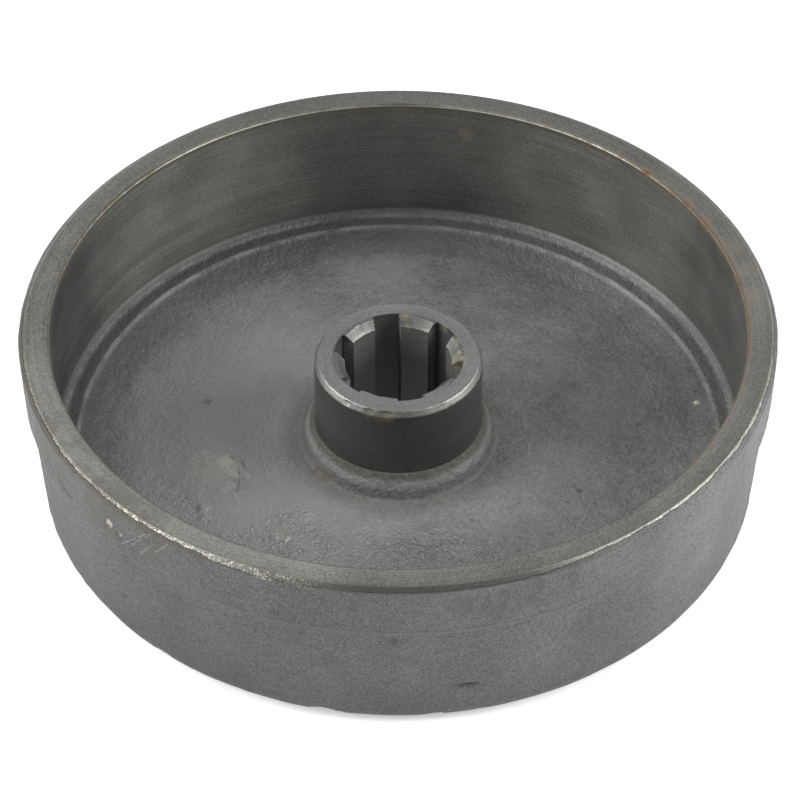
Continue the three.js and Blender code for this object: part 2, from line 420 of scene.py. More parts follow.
WEAR_SIZE, WEAR_DEPTH, WEAR_REACH = 1.4, 0.22, 0.35  # millimetres, of the wear of the hub's edges

HUB_MARKS = [
    Mark(268.0, 21.6, 37.6, 1.0, 1.2, 0.9, -0.35),  # nicks in the front edge
    Mark(279.5, 21.6, 37.6, 1.6, 1.2, 0.9, -0.45),
    Mark(251.0, 21.6, 37.6, 0.9, 1.2, 0.8, -0.25),
    Mark(22.0, 16.0, 38.0, 1.3, 1.3, 1.2, 0.5),  # and in the mouth of the bore
    Mark(64.0, 16.0, 38.0, 1.0, 1.3, 1.2, 0.45),
    Mark(150.0, 16.0, 38.0, 1.0, 1.2, 1.2, 0.3),
]


def hub_wear(section, places):
    """How far the worn edges of the hub's front end move outwards at each place."""
    edges = (
        (HUB_RADIUS, HUB_CHAMFER_FOOT),
        (HUB_NOSE_RADIUS, HUB_HEIGHT),
        (FRONT_MOUTH_RADIUS, HUB_HEIGHT),
        (SPLINE_MINOR_RADIUS, HUB_HEIGHT - (FRONT_MOUTH_RADIUS - SPLINE_MINOR_RADIUS)),
    )
    away = np.min([np.hypot(section[:, 0] - r, section[:, 1] - z) for r, z in edges], axis=0)
    uneven = np.array([noise.noise(Vector(place) / WEAR_SIZE) for place in places])
    wear = WEAR_DEPTH * uneven * np.clip(1 - away / WEAR_REACH, 0, 1)
    for mark in HUB_MARKS:
        wear += mark_lift(places, mark)
    return wear


def make_hub():
    columns = []
    for angle, bore in spline_columns():
        section = np.array(hub_section(bore))
        flat = np.array((math.cos(angle), math.sin(angle)))
        places = np.column_stack([section[:, :1] * flat, section[:, 1]])
        places[:, :2] += hub_wear(section, places)[:, None] * flat
        columns.append(places)
    return ring_piece("drum_hub", np.array(columns))


# ---------------------------------------------------------------- materials


class Tree:
    """Builds the nodes of a material or world. A socket is linked to an input; anything else sets it."""

    def __init__(self, owner):
        owner.use_nodes = True
        self.nodes = owner.node_tree.nodes
        self.links = owner.node_tree.links
        self.nodes.clear()

    def add(self, kind, inputs=(), **settings):
        node = self.nodes.new("ShaderNode" + kind)
        for key, value in settings.items():
            setattr(node, key, value)
        for key, value in dict(inputs).items():
            if isinstance(value, bpy.types.NodeSocket):
                self.links.new(value, node.inputs[key])
            else:
                node.inputs[key].default_value = value
        return node

    def math(self, operation, a, b=0.0):
        return self.add("Math", {0: a, 1: b}, operation=operation).outputs[0]

    def times(self, *shares):
        product = shares[0]
        for share in shares[1:]:
            product = self.math("MULTIPLY", product, share)
        return product

    def total(self, *parts):
        """The sum of (value, weight) pairs."""
        sum_so_far = self.math("MULTIPLY", *parts[0])
        for value, weight in parts[1:]:
            inputs = {0: value, 1: weight, 2: sum_so_far}
            sum_so_far = self.add("Math", inputs, operation="MULTIPLY_ADD").outputs[0]
        return sum_so_far

    def ramp(self, value, low, high, at_low=0.0, at_high=1.0):
        """value eased from at_low at low to at_high at high, and held beyond them."""
        inputs = {"Value": value, "From Min": low, "From Max": high, "To Min": at_low, "To Max": at_high}
        return self.add("MapRange", inputs, interpolation_type="SMOOTHSTEP").outputs[0]

    def blend(self, share, a, b):
        """Colour a at share 0, and colour b at share 1."""
        return self.add("Mix", {0: share, 6: a, 7: b}, data_type="RGBA").outputs[2]

    def blend_number(self, share, a, b):
        return self.add("Mix", {0: share, 2: a, 3: b}, data_type="FLOAT").outputs[0]

    def vector_math(self, operation, a, b=(0, 0, 0), output=0, **inputs):
        return self.add("VectorMath", {0: a, 1: b, **inputs}, operation=operation).outputs[output]


def grey(level, yellow=0.0):
    """A near-grey colour, tilted towards yellow, or towards blue below 0."""
    return (level * (0.98 + 0.15 * yellow), level, level * (1 - yellow), 1.0)


CAST_DARK = grey(0.14, 0.02)
CAST_LIGHT = grey(0.39, 0.02)
# The outside's skin: the cast skin's colours, darkened there as painted shade.
BLASTED_SHADED_DARK = grey(0.046, -0.03)
BLASTED_SHADED_LIGHT = grey(0.203, -0.03)
TURNED_DARK = grey(0.13, 0.07)
TURNED_LIGHT = grey(0.31, 0.07)
OILED_DARK = grey(0.085, 0.05)
OILED_LIGHT = grey(0.18, 0.05)
FACED_DARK = grey(0.20, 0.03)
FACED_LIGHT = grey(0.39, 0.03)
BORE_DARK = grey(0.11, 0.06)
BORE_LIGHT = grey(0.22, 0.06)
RUST = (0.16, 0.082, 0.034, 1.0)
BROWN = (0.120, 0.098, 0.056, 1.0)
TAN = (0.21, 0.168, 0.112, 1.0)
SCALE = (0.25, 0.22, 0.13, 1.0)
OLIVE = (0.088, 0.081, 0.062, 1.0)
# Dark grime, and also painted shade where it is laid in the cup's corners, under the parting step and on
# the chamfer in front.
GRIME_AND_SHADE = grey(0.068, 0.08)
# Light worn metal, and also painted highlights and glints where it is laid on edges, bump tops and
# pin-points.
WORN_AND_HIGHLIGHT = (0.52, 0.50, 0.43, 1.0)

CAST_METALLIC = 0.5
TURNED_METALLIC = 0.9
BUMP_DISTANCE = 0.12 * MM

FRONT_ANGLE = 288.4  # degrees round the drum, of the side that faces the camera
DEPTH_BLINDNESS = 0.85  # how far a scratch disregards the depth of a place under it
UP = Vector((0, 0, 1))

# The colour, roughness, metallic share and bump height of a kind of surface.
Finish = namedtuple("Finish", "colour rough metallic bump")


class Iron(Tree):
    """The drum's iron, cast or turned, with its stains. Places are in millimetres."""

    def __init__(self, name):
        self.material = bpy.data.materials.new(name)
        super().__init__(self.material)
        place = self.add("TexCoord").outputs["Object"]
        self.spot = self.vector_math("SCALE", place, Scale=1 / MM)
        split = self.add("SeparateXYZ", {0: self.spot})
        self.height = split.outputs[2]
        level = self.add("CombineXYZ", {0: split.outputs[0], 1: split.outputs[1]}).outputs[0]
        self.radius = self.vector_math("LENGTH", level, output=1)
        self.heading = self.vector_math("NORMALIZE", level)
        warp = self.add("TexNoise", {"Vector": self.spot, "Scale": 0.45, "Detail": 4.0}).outputs[1]
        self.warp = self.vector_math("SUBTRACT", warp, (0.5, 0.5, 0.5))

    def noise(self, size, detail=2.0, roughness=0.5, place=None):
        """Noise from 0 to 1 whose features are about size millimetres."""
        inputs = {"Vector": place or self.spot, "Scale": 1 / size}
        return self.add("TexNoise", {**inputs, "Detail": detail, "Roughness": roughness}).outputs[0]

    def sector(self, angle, half_width, softness):
        """1 within half_width degrees of an angle round the drum, and 0 beyond softness more."""
        around = math.radians(angle)
        towards = (math.cos(around), math.sin(around), 0)
        facing = self.vector_math("DOT_PRODUCT", self.heading, towards, output=1)
        low = math.cos(math.radians(half_width + softness))
        return self.ramp(facing, low, math.cos(math.radians(half_width)))

    def band(self, value, low, high, softness):
        """1 from low to high, and 0 beyond softness outside them."""
        rise = self.ramp(value, low - softness, low)
        return self.times(rise, self.ramp(value, high, high + softness, 1.0, 0.0))

    def moved(self, reach):
        """Each place, moved at random by about that many millimetres."""
        return self.vector_math("ADD", self.spot, self.vector_math("SCALE", self.warp, Scale=reach))

    def blot(self, angle, r, z, reach):
        """1 in a ragged blot of that reach round a place, fading to 0."""
        away = self.vector_math("DISTANCE", self.moved(1.8 * reach), cylinder_place(angle, r, z), output=1)
        return self.ramp(away, reach * 0.2, reach, 1.0, 0.0)

    def scratch(self, start, end, width, out=None):
        """1 along a thin straight mark between two (angle, radius, height) places.

        out is the way the surface faces: straight out from the axis, unless it is given.
        """
        first, last = cylinder_place(*start), cylinder_place(*end)
        out = out or cylinder_place((start[0] + end[0]) / 2, 1, 0)
        along = last - first
        away = self.vector_math("SUBTRACT", self.spot, first)
        depth = self.vector_math("DOT_PRODUCT", away, out * DEPTH_BLINDNESS, output=1)
        away = self.vector_math("SUBTRACT", away, self.vector_math("SCALE", out, Scale=depth))
        reach = self.vector_math("DOT_PRODUCT", away, along / along.length_squared, output=1)
        held = self.add("Clamp", {0: reach}).outputs[0]
        nearest = self.vector_math("SCALE", along, Scale=held)
        off_line = self.vector_math("DISTANCE", away, nearest, output=1)
        return self.ramp(off_line, width * 0.4, width, 1.0, 0.0)

    def lathe_place(self, stretch):
        """Places that run slowly round the drum, so that noise on them draws the rings of a lathe."""
        section = self.add("CombineXYZ", {0: self.radius, 1: self.height}).outputs[0]
        return self.vector_math("ADD", section, self.vector_math("SCALE", self.spot, Scale=stretch))

    def cast(self, dark=CAST_DARK, light=CAST_LIGHT, speckle=1.0, peel=1.0, mottling=1.0):
        """The sand-cast, shot-blasted skin: clouds, mottle, a fine speckle and the peel of its bumps."""
        cloud = self.noise(24, 3)
        mottle = self.noise(4.5, 3, 0.6)
        lumps = self.noise(1.4, 2, 0.65)
        grain = self.noise(0.36, 2, 0.75)
        soft = ((cloud, 0.4 * mottling), (mottle, 0.25 * mottling), (lumps, 0.35 * mottling))
        tone = self.total(*soft, (grain, 0.9 * speckle))
        middle = 0.5 * (mottling + 0.9 * speckle)
        colour = self.blend(self.ramp(tone, middle - 0.32, middle + 0.32), dark, light)
        rough = self.ramp(mottle, 0.2, 0.8, 0.55, 0.7)
        bump = self.total((mottle, 2.0), (lumps, 4.0 * peel), (grain, 1.2))
        return Finish(colour, rough, CAST_METALLIC, bump)

    def turned(self, dark=TURNED_DARK, light=TURNED_LIGHT, metallic=TURNED_METALLIC, ring_share=0.3):
        """A turned face: the rings of the tool, soft clouds and a fine grain."""
        lathe = self.lathe_place(0.012)
        rings = self.noise(0.45, 2, 0.6, lathe)
        bands = self.noise(4.5, 2, 0.5, lathe)
        cloud = self.noise(16, 3)
        grain = self.noise(0.42, 2, 0.7)
        tone = self.total((rings, ring_share), (bands, 0.15), (cloud, 0.25), (grain, 0.7))
        middle = 0.5 * (1.10 + ring_share)
        colour = self.blend(self.ramp(tone, middle - 0.25, middle + 0.25), dark, light)
        rough = self.ramp(self.math("ADD", cloud, rings), 0.6, 1.4, 0.38, 0.52)
        bump = self.total((rings, 0.5 * ring_share), (grain, 0.2))
        return Finish(colour, rough, metallic, bump)

    def joined(self, share, a, b):
        """Finish a where share is 0, and b where it is 1."""
        return Finish(
            self.blend(share, a.colour, b.colour),
            self.blend_number(share, a.rough, b.rough),
            self.blend_number(share, a.metallic, b.metallic),
            self.blend_number(share, a.bump, b.bump),
        )

    def sparkling(self, finish, share):
        """A finish with painted glints: bright pin-points in the colour of bare metal."""
        points = self.ramp(self.noise(0.27, 1, 0.6), 0.60, 0.74)
        return self.stained(finish, self.times(points, share), WORN_AND_HIGHLIGHT, 0.45, 0.7)

    def gained(self, finish, *parts):
        """A finish made lighter or darker: its colour times 1 and the sum of (share, gain) pairs."""
        gain = self.math("ADD", self.total(*parts), 1.0)
        return finish._replace(colour=self.vector_math("SCALE", finish.colour, Scale=gain))

    def stained(self, finish, share, colour, rough=0.75, metallic=0.1):
        """A finish under a stain of that share."""
        return Finish(
            self.blend(share, finish.colour, colour),
            self.blend_number(share, finish.rough, rough),
            self.blend_number(share, finish.metallic, metallic),
            finish.bump,
        )

    def layered(self, finish, *stains):
        """A finish under several stains, each given as (share, colour, roughness, metallic)."""
        for stain in stains:
            finish = self.stained(finish, *stain)
        return finish

    def most(self, *shares):
        """The greatest of several shares."""
        greatest = shares[0]
        for share in shares[1:]:
            greatest = self.math("MAXIMUM", greatest, share)
        return greatest

    def smudges(self, blots):
        """Stains given as (angle, radius, height, reach, strength)."""
        return self.most(*[self.times(self.blot(*blot[:4]), blot[4]) for blot in blots])

    def scratches(self, places, width, out=None):
        """All the scratches from one place to another, as one share."""
        return self.most(*[self.scratch(start, end, width, out) for start, end in places])

    def done(self, finish):
        """Ends the material with its shader, and returns it."""
        bump = self.add("Bump", {"Height": finish.bump, "Strength": 1.0, "Distance": BUMP_DISTANCE})
        inputs = {
            "Base Color": finish.colour,
            "Roughness": finish.rough,
            "Metallic": finish.metallic,
            "Normal": bump.outputs[0],
        }
        self.add("OutputMaterial", {0: self.add("BsdfPrincipled", inputs).outputs[0]})
        return self.material


def chamfer_depth(iron, radius, height, width, drop):
    """How far a place is outside the cone of a chamfer, in millimetres; below 0 is under its skin."""
    length = math.hypot(width, drop)
    out = iron.math("SUBTRACT", iron.radius, radius)
    up = iron.math("SUBTRACT", iron.height, height)
    return iron.total((out, drop / length), (up, width / length))


def chamfer_reach(iron):
    """The radius out to which the lip's chamfer was cut clean: all of it in front, less elsewhere."""
    ragged = iron.ramp(iron.noise(7, 4, 0.7), 0.25, 0.75, -0.35, 0.35)
    front, left = iron.sector(FRONT_ANGLE, 12, 24), iron.sector(250, 10, 20)
    width = iron.total((front, 0.8), (left, 0.3), (ragged, 0.8))
    return iron.math("ADD", width, LIP_NOSE_RADIUS + 0.6)


def lip_machining(iron):
    """1 on the drum wall's turned faces: the lip and its chamfer, the friction wall and the back rim."""
    depth = chamfer_depth(iron, LIP_NOSE_RADIUS, HEIGHT, LIP_CHAMFER_WIDTH, LIP_CHAMFER_DROP)
    on_chamfer = iron.times(iron.ramp(depth, -0.12, -0.04), iron.ramp(iron.height, HEIGHT - 3, HEIGHT - 2))
    beyond = iron.math("SUBTRACT", iron.radius, chamfer_reach(iron))
    on_chamfer = iron.times(on_chamfer, iron.ramp(beyond, -0.15, 0.15, 1.0, 0.0))
    on_face = iron.ramp(iron.height, HEIGHT - 0.1, HEIGHT - 0.02)
    inside = iron.ramp(iron.radius, FRICTION_RADIUS + 0.2, FRICTION_RADIUS + 0.6, 1.0, 0.0)
    wall = iron.times(inside, iron.ramp(iron.height, SHOULDER_HEIGHT + 0.5, SHOULDER_HEIGHT + 2.5))
    foot = iron.ramp(iron.height, 0.02, 0.2, 1.0, 0.0)
    return iron.most(on_chamfer, on_face, wall, foot)


def chamfer_wear_and_highlight(iron):
    """The bright crumbled metal along two stretches of the lip's outer chamfer: partly worn metal and
    partly a painted highlight.
    """
    beyond = iron.math("SUBTRACT", iron.radius, chamfer_reach(iron))
    on_band = iron.times(
        iron.ramp(iron.radius, LIP_NOSE_RADIUS, LIP_NOSE_RADIUS + 0.3),
        iron.ramp(beyond, -0.1, 0.2, 1.0, 0.0),
        iron.ramp(iron.height, HEIGHT - 2.2, HEIGHT - 1.4),
    )
    crumbs = iron.noise(0.5, 3, 0.75)
    left = iron.times(iron.sector(256, 9, 16), iron.ramp(crumbs, 0.47, 0.62))
    thin = iron.times(iron.sector(230, 14, 14), iron.ramp(crumbs, 0.50, 0.66), 0.7)
    right = iron.times(iron.sector(342, 16, 20), iron.ramp(crumbs, 0.46, 0.62), 0.9)
    return iron.times(on_band, iron.most(left, thin, right))


def chamfer_film(iron):
    """The dull film between the crumbs of metal, which keeps the chamfer from shining as one line."""
    on_band = iron.times(
        iron.ramp(iron.radius, LIP_NOSE_RADIUS - 0.1, LIP_NOSE_RADIUS + 0.2),
        iron.ramp(iron.height, HEIGHT - 1.7, HEIGHT - 1.2),
    )
    left = iron.times(iron.sector(236, 34, 14), 0.65)
    right = iron.times(iron.sector(346, 24, 14), 0.2)
    return iron.times(on_band, iron.most(left, right))


def chamfer_front_shade(iron):
    """Painted shade on the chamfer in front, where it shows a dark reflection."""
    outer = iron.ramp(iron.radius, LIP_NOSE_RADIUS + 0.05, LIP_NOSE_RADIUS + 0.35)
    high = iron.ramp(iron.height, HEIGHT - 1.7, HEIGHT - 1.2)
    return iron.times(iron.sector(FRONT_ANGLE + 4, 14, 22), outer, high, 0.8)


def corner_shade(iron):
    """Painted shade in the corner of the cup, from the fillet to the foot of the slope, lighter along its
    two ridges.
    """
    ring = iron.times(
        iron.ramp(iron.radius, WEB_RADIUS - 10, WEB_RADIUS - 1.5),
        iron.ramp(iron.radius, FRICTION_RADIUS, FRICTION_RADIUS + 2, 1.0, 0.0),
    )
    low = iron.ramp(iron.height, SHOULDER_HEIGHT + 1, SHOULDER_HEIGHT + 6, 1.0, 0.0)
    above_back = iron.ramp(iron.height, BACK_RECESS, BACK_RECESS + 2)
    edges = iron.most(
        iron.band(iron.radius, SHOULDER_RADIUS - 0.5, SHOULDER_RADIUS + 0.2, 0.3),
        iron.times(iron.band(iron.radius, FRICTION_RADIUS - 1.5, FRICTION_RADIUS - 1.0, 0.4), 0.7),
    )
    # Less painted shade on the two ridges, so that they stay lit.
    lit_ridges = iron.times(edges, iron.ramp(iron.noise(9, 3), 0.3, 0.6))
    strength = iron.total((iron.sector(198, 70, 50), 0.32), (lit_ridges, -0.38), (1.0, 0.52))
    return iron.times(ring, low, above_back, strength)


def edge_rust(iron):
    """Rust along the lip's inner edge, creeping over the lip and down the friction wall."""
    near = iron.band(iron.radius, FRICTION_RADIUS - 0.3, FRICTION_RADIUS + 0.8, 0.9)
    high = iron.ramp(iron.height, HEIGHT - 4.0, HEIGHT - 0.4)
    ragged = iron.ramp(iron.noise(3, 4, 0.75), 0.46, 0.68)
    return iron.times(near, high, ragged, iron.sector(46, 26, 26), 0.65)


def edge_tarnish(iron):
    """The brown film along both edges of the lip, and a little way down the friction wall."""
    high = iron.ramp(iron.height, HEIGHT - 3.0, HEIGHT - 0.8)
    inner = iron.band(iron.radius, FRICTION_RADIUS - 0.2, FRICTION_RADIUS + 0.3, 0.5)
    sides = iron.most(iron.sector(222, 24, 20), iron.sector(8, 34, 16))
    on_nose = iron.band(iron.radius, LIP_NOSE_RADIUS - 0.3, LIP_NOSE_RADIUS + 0.1, 0.35)
    outer = iron.times(on_nose, sides, 0.45)
    ragged = iron.ramp(iron.noise(3, 3, 0.7), 0.30, 0.60)
    return iron.times(high, iron.most(inner, outer), ragged, 0.75)


def edge_highlight(iron):
    """A painted highlight on two stretches of the lip's inner edge."""
    near = iron.band(iron.radius, FRICTION_RADIUS - 0.2, FRICTION_RADIUS + 0.55, 0.25)
    high = iron.ramp(iron.height, HEIGHT - 0.8, HEIGHT - 0.5)
    right = iron.sector(80, 17, 12)
    left = iron.times(iron.sector(132, 12, 14), 0.8)
    patchy = iron.ramp(iron.noise(2.5, 3, 0.7), 0.3, 0.6, 0.5, 1.0)
    return iron.times(near, high, iron.most(left, right), patchy, 0.6)


def edge_tan(iron):
    """The tan line of old rust along the lip's inner edge, on the right."""
    near = iron.band(iron.radius, FRICTION_RADIUS - 0.2, FRICTION_RADIUS + 0.7, 0.5)
    high = iron.ramp(iron.height, HEIGHT - 1.6, HEIGHT - 0.6)
    patchy = iron.ramp(iron.noise(4, 3, 0.7), 0.3, 0.55, 0.4, 1.0)
    return iron.times(near, high, patchy, iron.sector(22, 38, 12), 0.75)


def edge_line(iron):
    """The thin dark line along the lip's inner edge in front."""
    low = FRICTION_RADIUS + EDGE_BREAK - 0.1
    near = iron.band(iron.radius, low, low + 0.3, 0.2)
    high = iron.ramp(iron.height, HEIGHT - 0.8, HEIGHT - 0.5)
    patchy = iron.ramp(iron.noise(3, 3, 0.7), 0.3, 0.5, 0.4, 1.0)
    return iron.times(near, high, patchy, iron.sector(FRONT_ANGLE, 44, 20), 0.7)


def low_shade(iron):
    """Painted shade low on the outside, which fades upwards."""
    outside = iron.ramp(iron.radius, FRICTION_RADIUS, FRICTION_RADIUS + 1)
    return iron.times(outside, iron.ramp(iron.height, 0, 30, 0.3, 0.0))


def parting_shadow(iron):
    """A dark dotted line of painted shadow under the step at the mould's joint."""
    rise = iron.times(iron.noise(14, 2), 1.2)
    off = iron.math("SUBTRACT", iron.math("SUBTRACT", iron.height, PARTING_HEIGHT - 0.5), rise)
    line = iron.band(off, -0.1, 0.1, 0.25)
    outside = iron.ramp(iron.radius, STEP_RADIUS - 1, STEP_RADIUS)
    return iron.times(line, outside, iron.ramp(iron.noise(2.2, 3, 0.7), 0.36, 0.58), 0.85)


# Thin dark laps in the wall's skin, from one (angle, radius, height) to another.
CRACKS = [
    ((223.2, 97.3, 41.6), (224.0, 97.3, 39.6)),
    ((224.0, 97.3, 39.6), (225.8, 97.3, 39.2)),
    ((227.6, 97.3, 39.6), (229.2, 97.3, 38.9)),
    ((229.2, 97.3, 38.9), (231.4, 97.3, 38.3)),
    ((297.0, 94.6, 13.6), (300.3, 94.6, 13.2)),
]

# Light scratches that lean across the wall below the lip.
SCRATCHES = [
    ((244.0, 97.3, 39.0), (249.3, 97.3, 48.4)),
    ((246.2, 97.3, 41.2), (250.4, 97.3, 49.6)),
    ((247.6, 97.3, 39.4), (250.6, 97.3, 46.0)),
    ((250.2, 97.3, 42.2), (253.6, 97.3, 49.4)),
]

# Streaks of grease that ran down from the lip.
DRIPS = [
    ((301.4, 97.3, 45.0), (300.6, 97.3, 39.2)),
    ((303.6, 97.3, 47.0), (303.0, 97.3, 41.4)),
    ((308.6, 97.3, 48.0), (307.8, 97.3, 42.6)),
    ((314.2, 97.3, 48.6), (313.8, 97.3, 43.0)),
]


# Stains, and some painted light, each as (angle, radius, height, reach, strength).

GREASE = [
    (298, 97, 44, 5, 0.4),
    (302, 97, 41, 6, 0.4),
    (307, 97, 43, 5, 0.35),
    (278.6, 95, 22.7, 4, 0.5),
    (272.4, 95.5, 28.4, 4, 0.4),
    (254, 95, 27, 9, 0.35),
    (262, 94, 9, 9, 0.35),
    (318, 94.5, 20, 10, 0.25),
]
LIP_TAN = [(38, 92.6, 51, 4.5, 0.5), (31, 93.6, 51, 4.5, 0.45), (25, 92.0, 51, 3.5, 0.45)]
LIP_RUST = [
    (66.5, 90.8, 51, 1.8, 0.8),
    (60.5, 90.8, 51, 2.2, 0.8),
    (50, 91, 51, 2.4, 0.65),
    (44, 91, 51, 2.5, 0.7),
    (36, 92.5, 51, 2.5, 0.4),
    (23, 91.6, 51, 2.5, 0.6),
    (55, 97.1, 51, 1.5, 0.8),
    (96.2, 90, 42, 3, 0.35),
]
WALL_PITS = [(287.9, 95.9, 31.6, 1.5, 0.8), (240.3, 95.2, 23, 1.2, 0.7), (241.8, 94.7, 16, 1.2, 0.7)]
WALL_BRUISES = [
    (241.4, 97.2, 42.9, 1.5, 0.8),
    (243.6, 97.2, 41.4, 1.1, 0.7),
    (236.5, 96.9, 41.5, 0.9, 0.4),
]
WEB_CLOUDS = [(114, 69, 9.3, 15, 0.34), (121, 73, 9.3, 9, 0.3), (93, 74, 9.2, 9, 0.2)]
WEB_SPOTS = [
    (355, 51.7, 9.8, 1.4, 0.7),
    (182.8, 53, 9.8, 2, 0.45),
    (41.4, 51.7, 9.8, 2.4, 0.35),
    (348.9, 50.8, 9.8, 0.8, 0.6),
    (36.2, 84, 10.6, 5, 0.35),
    (30.6, 83, 10.4, 5, 0.4),
    (56, 82, 10, 7, 0.25),
    (20, 82, 10, 4, 0.3),
]
# Light spots; the three on the blister are partly painted light on its top.
WEB_LIGHT_AND_LIT_SPOTS = [
    (210.8, 50.6, 10.3, 9, 0.28),
    (212.1, 46.4, 10.8, 4.4, 0.6),
    (218.0, 46.6, 10.6, 3.2, 0.5),
    (248.5, 48.4, 9.9, 1.4, 0.7),
    (252.0, 48.4, 9.9, 1.2, 0.7),
    (28, 81.1, 10, 1.5, 1.0),
]
COLLAR_RUST = [(240, 25.4, 12, 3, 0.4), (232, 26, 11, 2, 0.4)]
HUB_BURNS = [(268, 21.6, 37.0, 2.0, 0.7), (274, 21.7, 36.7, 2.4, 0.8), (281, 21.7, 36.6, 2.4, 0.8)]
MOUTH_SCALE = [
    (18, 15.4, 37.6, 3.4, 0.85),
    (8, 16.6, 38.0, 1.8, 0.7),
    (40, 16.8, 38.2, 1.6, 0.5),
    (63, 16.4, 38.0, 2.2, 0.75),
    (102, 16.4, 38.0, 1.6, 0.7),
    (98, 14.2, 36.0, 1.4, 0.5),
]


def wall_skin(iron, outside):
    """The wall's cast skin, finer on the outside and darker there as painted shade, with painted light on
    the outside's right in front, painted shade on its left in front, and painted glints.
    """
    skin = iron.joined(outside, iron.cast(), iron.cast(BLASTED_SHADED_DARK, BLASTED_SHADED_LIGHT, 1.3, 0.5, 0.7))
    # Painted light on the outside's right in front, and painted shade on its left in front.
    skin = iron.gained(
        skin,
        (iron.times(outside, iron.sector(352, 12, 14)), 0.22),
        (iron.times(outside, iron.sector(242, 32, 36)), -0.16),
    )
    # Painted glints: bright pin-points on the outside.
    return iron.sparkling(skin, iron.times(outside, 0.3))


def turned_wall_and_lip(iron):
    """The turned wall, with painted light and painted shade in stretches, and the scored and speckled lip,
    lighter on the left in front as painted light and darker behind as painted shade.
    """
    on_lip = iron.ramp(iron.height, HEIGHT - 2, HEIGHT - 1)
    on_wall = iron.math("SUBTRACT", 1.0, on_lip)
    # Painted light on the friction wall behind on the left and the right, painted shade on its left,
    # painted light on the lip on the left in front, and painted shade on the lip behind.
    turned = iron.gained(
        iron.turned(),
        (iron.times(on_wall, iron.sector(147, 13, 14)), 0.38),
        (iron.times(on_wall, iron.sector(71, 13, 14)), 0.36),
        (iron.times(on_wall, iron.sector(188, 8, 9)), -0.38),
        (iron.times(on_lip, iron.sector(244, 26, 20)), 0.55),
        (iron.times(on_lip, iron.sector(108, 40, 30)), -0.12),
    )
    scored = iron.ramp(iron.noise(0.3, 1, 0.5, iron.lathe_place(0.004)), 0.58, 0.72)
    specks = iron.noise(0.4, 2, 0.75)
    speckling = iron.total((iron.sector(250, 60, 50), 0.55), (1.0, 0.45))
    light_specks = iron.times(iron.ramp(specks, 0.50, 0.66), speckling, 0.38)
    dark_specks = iron.times(iron.ramp(specks, 0.32, 0.48, 1.0, 0.0), speckling, 0.44)
    return iron.layered(
        turned,
        (iron.times(on_lip, scored, 0.14), WORN_AND_HIGHLIGHT, 0.4, 0.9),
        (iron.times(on_lip, light_specks), WORN_AND_HIGHLIGHT, 0.45, 0.8),
        (iron.times(on_lip, dark_specks), GRIME_AND_SHADE, 0.5, 0.6),
    )


def warm_patch(iron, outside):
    """The olive patch below the lip, on the left."""
    patch = iron.times(iron.sector(236, 9, 14), iron.ramp(iron.height, 37, 41), outside)
    return iron.times(patch, iron.ramp(iron.noise(10, 4, 0.6), 0.32, 0.58), 0.6)


def wall_grease(iron, outside):
    """Smudges of grease on the outside, and the streaks that ran down from the lip."""
    broken = iron.ramp(iron.noise(1.6, 3, 0.7), 0.35, 0.6)
    drips = iron.times(iron.scratches(DRIPS, 2.4), outside, broken, 0.62)
    return iron.most(iron.smudges(GREASE), drips)


def wall_scuffs(iron):
    """Bare metal where the outside was knocked and scratched."""
    broken = iron.ramp(iron.noise(2, 3, 0.7), 0.35, 0.6)
    return iron.most(iron.smudges(WALL_BRUISES), iron.times(iron.scratches(SCRATCHES, 0.26), broken, 0.24))


def rim_material():
    iron = Iron("drum_wall_iron")
    outside = iron.ramp(iron.radius, FRICTION_RADIUS, FRICTION_RADIUS + 2)
    finish = iron.joined(lip_machining(iron), wall_skin(iron, outside), turned_wall_and_lip(iron))
    laps = iron.most(iron.smudges(WALL_PITS), iron.scratches(CRACKS, 0.8))
    finish = iron.layered(
        finish,
        # Painted shade in the corner of the cup.
        (corner_shade(iron), GRIME_AND_SHADE, 0.6, 0.4),
        # Painted shade low on the outside.
        (low_shade(iron), GRIME_AND_SHADE, 0.65, 0.5),
        (warm_patch(iron, outside), OLIVE, 0.6, 0.4),
        (wall_grease(iron, outside), GRIME_AND_SHADE, 0.6, 0.4),
        # Painted shadow under the parting step.
        (parting_shadow(iron), GRIME_AND_SHADE, 0.7, 0.3),
        (edge_tarnish(iron), BROWN, 0.6, 0.5),
        # Painted highlight on the lip's inner edge.
        (edge_highlight(iron), WORN_AND_HIGHLIGHT, 0.5, 0.6),
        (edge_tan(iron), TAN, 0.6, 0.4),
        (edge_line(iron), GRIME_AND_SHADE, 0.6, 0.4),
        (iron.smudges(LIP_TAN), TAN, 0.6, 0.4),
        (edge_rust(iron), RUST),
        (iron.smudges(LIP_RUST), RUST),
        # Painted shade on the chamfer in front.
        (chamfer_front_shade(iron), GRIME_AND_SHADE, 0.45, 0.6),
        (chamfer_film(iron), OLIVE, 0.6, 0.5),
        (iron.times(laps, 0.92), GRIME_AND_SHADE, 0.8, 0.2),
        (wall_scuffs(iron), WORN_AND_HIGHLIGHT, 0.45, 0.7),
        # Worn metal and a painted highlight on the lip's outer chamfer.
        (chamfer_wear_and_highlight(iron), WORN_AND_HIGHLIGHT, 0.5, 0.7),
    )
    return iron.done(finish)


